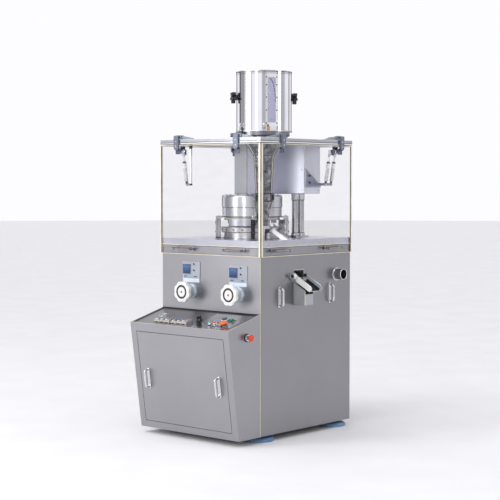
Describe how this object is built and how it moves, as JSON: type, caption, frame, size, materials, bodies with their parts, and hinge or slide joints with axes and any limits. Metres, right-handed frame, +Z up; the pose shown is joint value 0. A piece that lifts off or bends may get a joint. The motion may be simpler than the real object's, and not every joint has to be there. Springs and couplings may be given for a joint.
{
  "type": "tablet press",
  "caption": "Rotary tablet press: cabinet with sloping console, spinning punch turret behind lift-up clear doors, feed funnel, sight-glass powder drum and tilting discharge trough.",
  "frame": {"origin": "centre of the machine's footprint box, on the floor", "axes": "+Z up, -Y to the front where the console is, +X to the operator's right"},
  "size_m": [0.7802, 0.9261, 1.731],
  "materials": {
    "stainless": "satin",
    "frame_steel": "satin",
    "foot_blue": "matte",
    "polished": "polished",
    "hinge_grey": "satin",
    "clear": "clear",
    "white_plastic": "gloss",
    "black_plastic": "satin",
    "red_plastic": "gloss",
    "green_plastic": "gloss",
    "cast": "painted",
    "tool_steel": "ground",
    "bronze": "satin",
    "motor_blue": "gloss",
    "counter_blue": "gloss",
    "strut_dark": "polished",
    "sheet": "brushed"
  },
  "bodies": {
    "frame": {"base_frame": "frame_steel", "leveling_feet": "foot_blue", "cabinet_shell": "sheet", "deck_plate": "stainless", "cable_gland": "black_plastic", "console_shell": "sheet", "instrument_units": "white_plastic", "button_plate": "stainless", "handwheel_bosses": "polished", "counter_units": "counter_blue", "roof_plate": "stainless", "hinge_blocks": "hinge_grey", "strut_hangers": "stainless", "upper_housing": "stainless", "roller_carrier": "cast", "support_columns": "polished", "cam_cover": "polished", "feed_funnel": "polished", "feeder_frame": "bronze", "drum_flange": "stainless", "hopper_drum": "polished", "drum_window": "clear", "inner_chute": "polished", "turret_base": "cast", "drive_motor": "motor_blue"},
    "drum_lid": {"drum_lid": "stainless"},
    "drum_knob_left": {"drum_knob_left": "black_plastic"},
    "drum_knob_right": {"drum_knob_right": "black_plastic"},
    "turret": {"turret": "tool_steel", "dies": "tool_steel", "upper_punches": "tool_steel", "lower_punches": "tool_steel", "main_shaft": "tool_steel"},
    "worm": {"worm_shaft": "tool_steel"},
    "upper_roller": {"upper_roller": "tool_steel"},
    "lower_roller": {"lower_roller": "tool_steel"},
    "start_button": {"start_button": "green_plastic"},
    "jog_button": {"jog_button": "black_plastic"},
    "stop_button": {"stop_button": "red_plastic"},
    "estop": {"estop_head": "red_plastic"},
    "speed_knob": {"speed_knob": "black_plastic"},
    "mode_knob": {"mode_knob": "black_plastic"},
    "fill_handwheel": {"fill_handwheel": "white_plastic"},
    "pressure_handwheel": {"pressure_handwheel": "white_plastic"},
    "console_panel": {"console_front_panel": "sheet"},
    "side_panel": {"right_side_panel": "sheet", "side_panel_handles": "polished"},
    "trough": {"discharge_trough": "stainless"},
    "front_door": {"front_door": "clear", "front_door_fittings": "hinge_grey"},
    "right_door": {"right_door": "clear", "right_door_fittings": "hinge_grey"},
    "rear_door": {"rear_door": "clear", "rear_door_fittings": "hinge_grey"},
    "left_door": {"left_door": "clear", "left_door_fittings": "hinge_grey"},
    "front_strut_cylinder": {"front_strut_cylinder": "stainless"},
    "front_strut_rod": {"front_strut_rod": "strut_dark"},
    "right_strut_cylinder": {"right_strut_cylinder": "stainless"},
    "right_strut_rod": {"right_strut_rod": "strut_dark"}
  },
  "joints": [
    {"name": "drum_lid_lift", "type": "slide", "parent": "frame", "child": "drum_lid", "axis": [0, 0, 1], "range_m": [0, 0.06]},
    {"name": "drum_knob_left_turn", "type": "hinge", "parent": "frame", "child": "drum_knob_left", "pos_m": [0.04082, -0.16766, 1.609], "axis": [-0.5505, -0.8348, 0], "range_deg": [-180, 180]},
    {"name": "drum_knob_right_turn", "type": "hinge", "parent": "frame", "child": "drum_knob_right", "pos_m": [0.20596, 0.08279, 1.609], "axis": [0.5505, 0.8348, 0], "range_deg": [-180, 180]},
    {"name": "turret_spin", "type": "hinge", "parent": "frame", "child": "turret", "pos_m": [-0.04161, 0.05856, 0.98], "axis": [0, 0, 1], "continuous": true},
    {"name": "worm_spin", "type": "hinge", "parent": "frame", "child": "worm", "pos_m": [-0.04161, -0.05694, 0.59], "axis": [1, 0, 0], "continuous": true},
    {"name": "upper_roller_spin", "type": "hinge", "parent": "frame", "child": "upper_roller", "pos_m": [-0.04161, 0.17356, 1.131], "axis": [0, 1, 0], "continuous": true},
    {"name": "lower_roller_spin", "type": "hinge", "parent": "frame", "child": "lower_roller", "pos_m": [-0.04161, 0.17356, 0.775], "axis": [0, 1, 0], "continuous": true},
    {"name": "start_button_press", "type": "slide", "parent": "frame", "child": "start_button", "axis": [0, 0.2565, -0.9666], "range_m": [0, 0.003], "stiffness_N_per_m": 400, "springref_m": -0.002},
    {"name": "jog_button_press", "type": "slide", "parent": "frame", "child": "jog_button", "axis": [0, 0.2565, -0.9666], "range_m": [0, 0.003], "stiffness_N_per_m": 400, "springref_m": -0.002},
    {"name": "stop_button_press", "type": "slide", "parent": "frame", "child": "stop_button", "axis": [0, 0.2565, -0.9666], "range_m": [0, 0.004], "stiffness_N_per_m": 500, "springref_m": -0.003},
    {"name": "estop_press", "type": "slide", "parent": "frame", "child": "estop", "axis": [-1, 0, 0], "range_m": [0, 0.005], "stiffness_N_per_m": 500, "springref_m": -0.003},
    {"name": "speed_knob_turn", "type": "hinge", "parent": "frame", "child": "speed_knob", "pos_m": [0.00739, -0.36747, 0.56626], "axis": [0, -0.2565, 0.9666], "range_deg": [-135, 135]},
    {"name": "mode_knob_turn", "type": "hinge", "parent": "frame", "child": "mode_knob", "pos_m": [0.05839, -0.4243, 0.55429], "axis": [0, -0.2565, 0.9666], "range_deg": [-45, 45]},
    {"name": "fill_handwheel_turn", "type": "hinge", "parent": "frame", "child": "fill_handwheel", "pos_m": [-0.16061, -0.30544, 0.686], "axis": [0, -1, 0], "range_deg": [-720, 720]},
    {"name": "pressure_handwheel_turn", "type": "hinge", "parent": "frame", "child": "pressure_handwheel", "pos_m": [0.14239, -0.30544, 0.686], "axis": [0, -1, 0], "range_deg": [-720, 720]},
    {"name": "console_panel_pull", "type": "slide", "parent": "frame", "child": "console_panel", "axis": [0, -0.9903, -0.1391], "range_m": [0, 0.12]},
    {"name": "side_panel_pull", "type": "slide", "parent": "frame", "child": "side_panel", "axis": [1, 0, 0], "range_m": [0, 0.15]},
    {"name": "trough_tilt", "type": "hinge", "parent": "side_panel", "child": "trough", "pos_m": [0.29239, 0.03056, 0.766], "axis": [0, -1, 0], "range_deg": [0, 25]},
    {"name": "front_door_lift", "type": "hinge", "parent": "frame", "child": "front_door", "pos_m": [-0.04161, -0.23794, 1.427], "axis": [-1, 0, 0], "range_deg": [0, 80]},
    {"name": "right_door_lift", "type": "hinge", "parent": "frame", "child": "right_door", "pos_m": [0.27089, 0.09456, 1.427], "axis": [0, -1, 0], "range_deg": [0, 80]},
    {"name": "rear_door_lift", "type": "hinge", "parent": "frame", "child": "rear_door", "pos_m": [-0.04161, 0.42706, 1.427], "axis": [1, 0, 0], "range_deg": [0, 80]},
    {"name": "left_door_lift", "type": "hinge", "parent": "frame", "child": "left_door", "pos_m": [-0.35411, 0.09456, 1.427], "axis": [0, 1, 0], "range_deg": [0, 80]},
    {"name": "front_strut_swing", "type": "hinge", "parent": "frame", "child": "front_strut_cylinder", "pos_m": [-0.23061, -0.20394, 1.199], "axis": [1, 0, 0], "range_deg": [0, 16.38]},
    {"name": "front_strut_slide", "type": "slide", "parent": "front_strut_cylinder", "child": "front_strut_rod", "axis": [0, -0.1674, 0.9859], "range_m": [0, 0.07135]},
    {"name": "right_strut_swing", "type": "hinge", "parent": "frame", "child": "right_strut_cylinder", "pos_m": [0.23689, 0.30656, 1.199], "axis": [0, 1, 0], "range_deg": [0, 16.38]},
    {"name": "right_strut_slide", "type": "slide", "parent": "right_strut_cylinder", "child": "right_strut_rod", "axis": [0.1674, 0, 0.9859], "range_m": [0, 0.07135]}
  ],
  "couplings": [
    {"joint": "worm_spin", "follows": "turret_spin", "ratio": 30},
    {"joint": "upper_roller_spin", "follows": "turret_spin", "ratio": 2.7381},
    {"joint": "lower_roller_spin", "follows": "turret_spin", "ratio": -1.9167},
    {"joint": "front_strut_swing", "follows": "front_door_lift", "ratio": 0.20103},
    {"joint": "front_strut_slide", "follows": "front_door_lift", "m_per_rad": 0.05074},
    {"joint": "right_strut_swing", "follows": "right_door_lift", "ratio": 0.20103},
    {"joint": "right_strut_slide", "follows": "right_door_lift", "m_per_rad": 0.05074}
  ]
}
